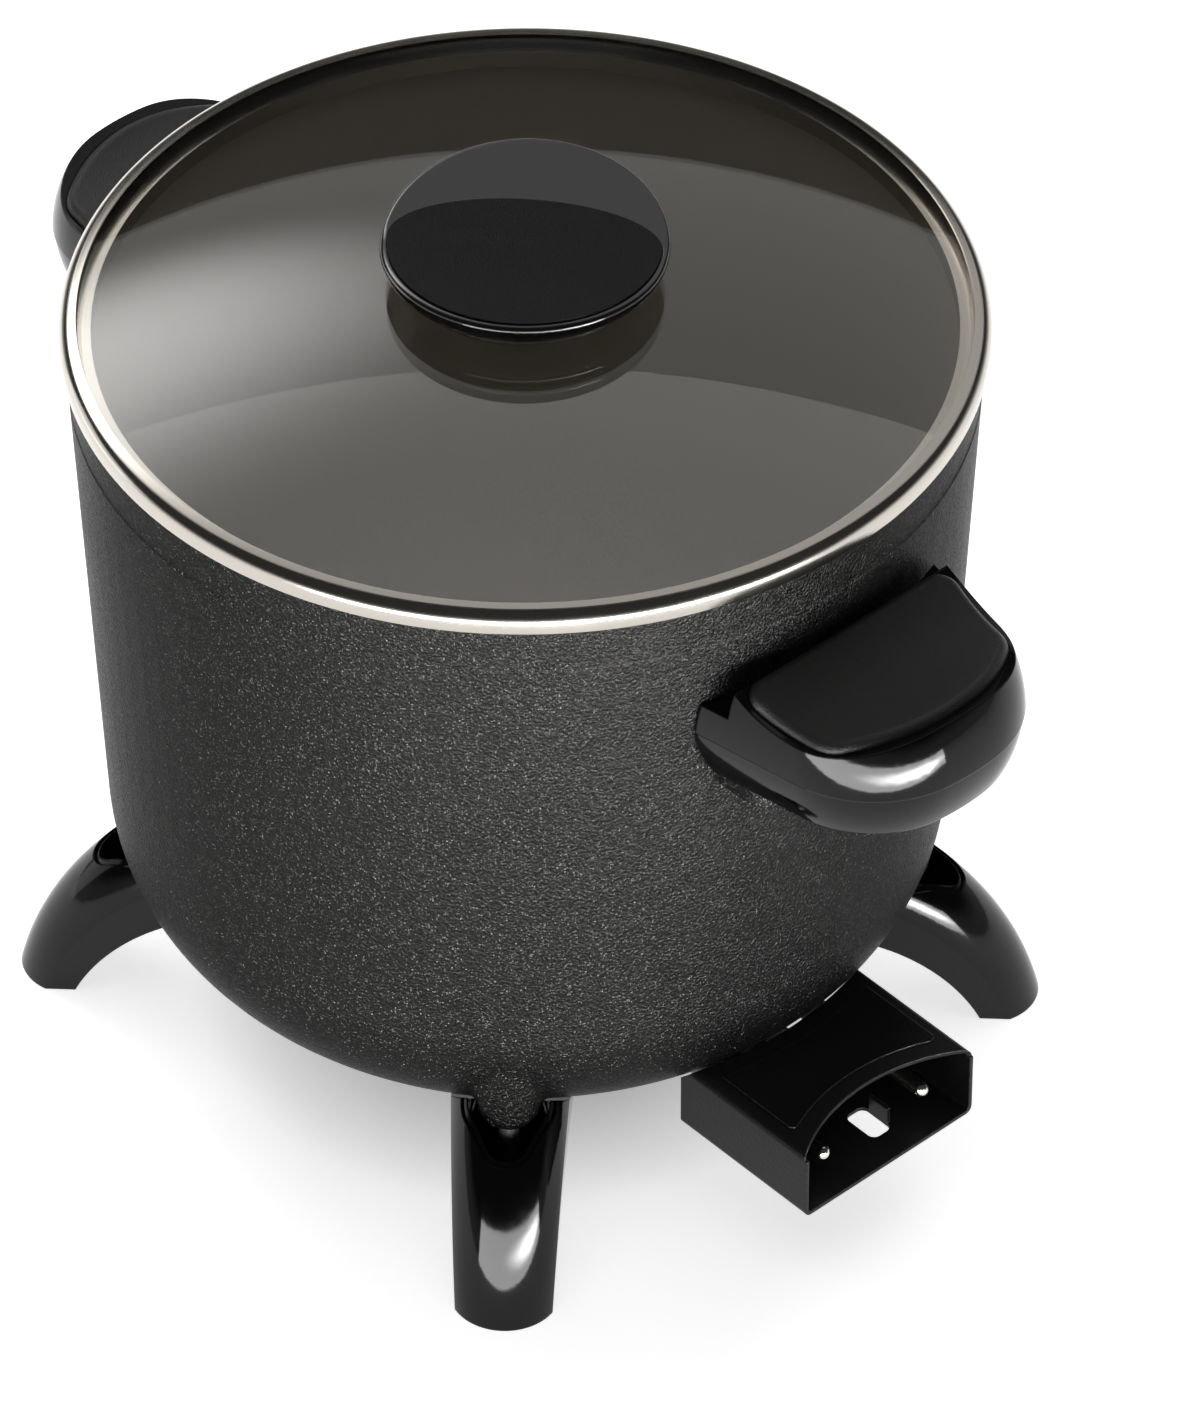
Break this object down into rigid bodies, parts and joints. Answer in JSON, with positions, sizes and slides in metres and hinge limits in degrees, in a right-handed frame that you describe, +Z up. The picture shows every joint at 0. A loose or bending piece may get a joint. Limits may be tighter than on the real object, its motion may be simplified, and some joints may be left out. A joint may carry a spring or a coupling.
{
  "type": "electric multicooker",
  "caption": "Deep round electric cooking pot on arched legs, with side handles, a loose domed glass lid with a knob, and a guarded pin inlet beside a probe well.",
  "frame": {"origin": "on the floor, under the pot's axis", "axes": "+Z up, +X towards the terminal guard and the right handle, +Y across"},
  "size_m": [0.311, 0.222, 0.2399],
  "materials": {
    "coated_casting": "charcoal nonstick coat with a fine metallic sparkle",
    "element_sheath": "dull steel tube",
    "nickel_pin": "bright nickel",
    "insulator": "white ceramic",
    "guard_paint": "satin black paint on sheet steel",
    "plate_paint": "smooth black plate, bare",
    "screw_steel": "zinc-plated steel",
    "ferrule_metal": "bright turned spacer",
    "gloss_black": "polished black phenolic",
    "soft_grip": "fine-grained matte black",
    "lid_glass": "clear tempered glass",
    "band_steel": "polished stainless band",
    "gasket_rubber": "black silicone"
  },
  "bodies": {
    "cooker": {"pot": "coated_casting", "heating_element": "element_sheath", "terminal_pin_right": "nickel_pin", "terminal_pin_left": "nickel_pin", "pin_insulator_right": "insulator", "pin_insulator_left": "insulator", "terminal_guard": "guard_paint", "guard_plate": "plate_paint", "guard_screws": "screw_steel", "leg_ferrules": "ferrule_metal", "leg_screws": "screw_steel", "handle_right": "gloss_black", "handle_left": "gloss_black", "handle_grip_right": "soft_grip", "handle_grip_left": "soft_grip", "handle_screws": "screw_steel", "leg_1": "gloss_black", "leg_2": "gloss_black", "leg_3": "gloss_black", "leg_4": "gloss_black"},
    "lid": {"lid_glass": "lid_glass", "lid_band": "band_steel", "knob": "gloss_black", "knob_grip": "soft_grip", "knob_gasket": "gasket_rubber", "knob_washer": "screw_steel", "knob_screw": "screw_steel"}
  },
  "joints": [
    {"name": "lid_lift", "type": "slide", "parent": "cooker", "child": "lid", "axis": [0, 0, 1], "range_m": [0, 0.12]}
  ]
}
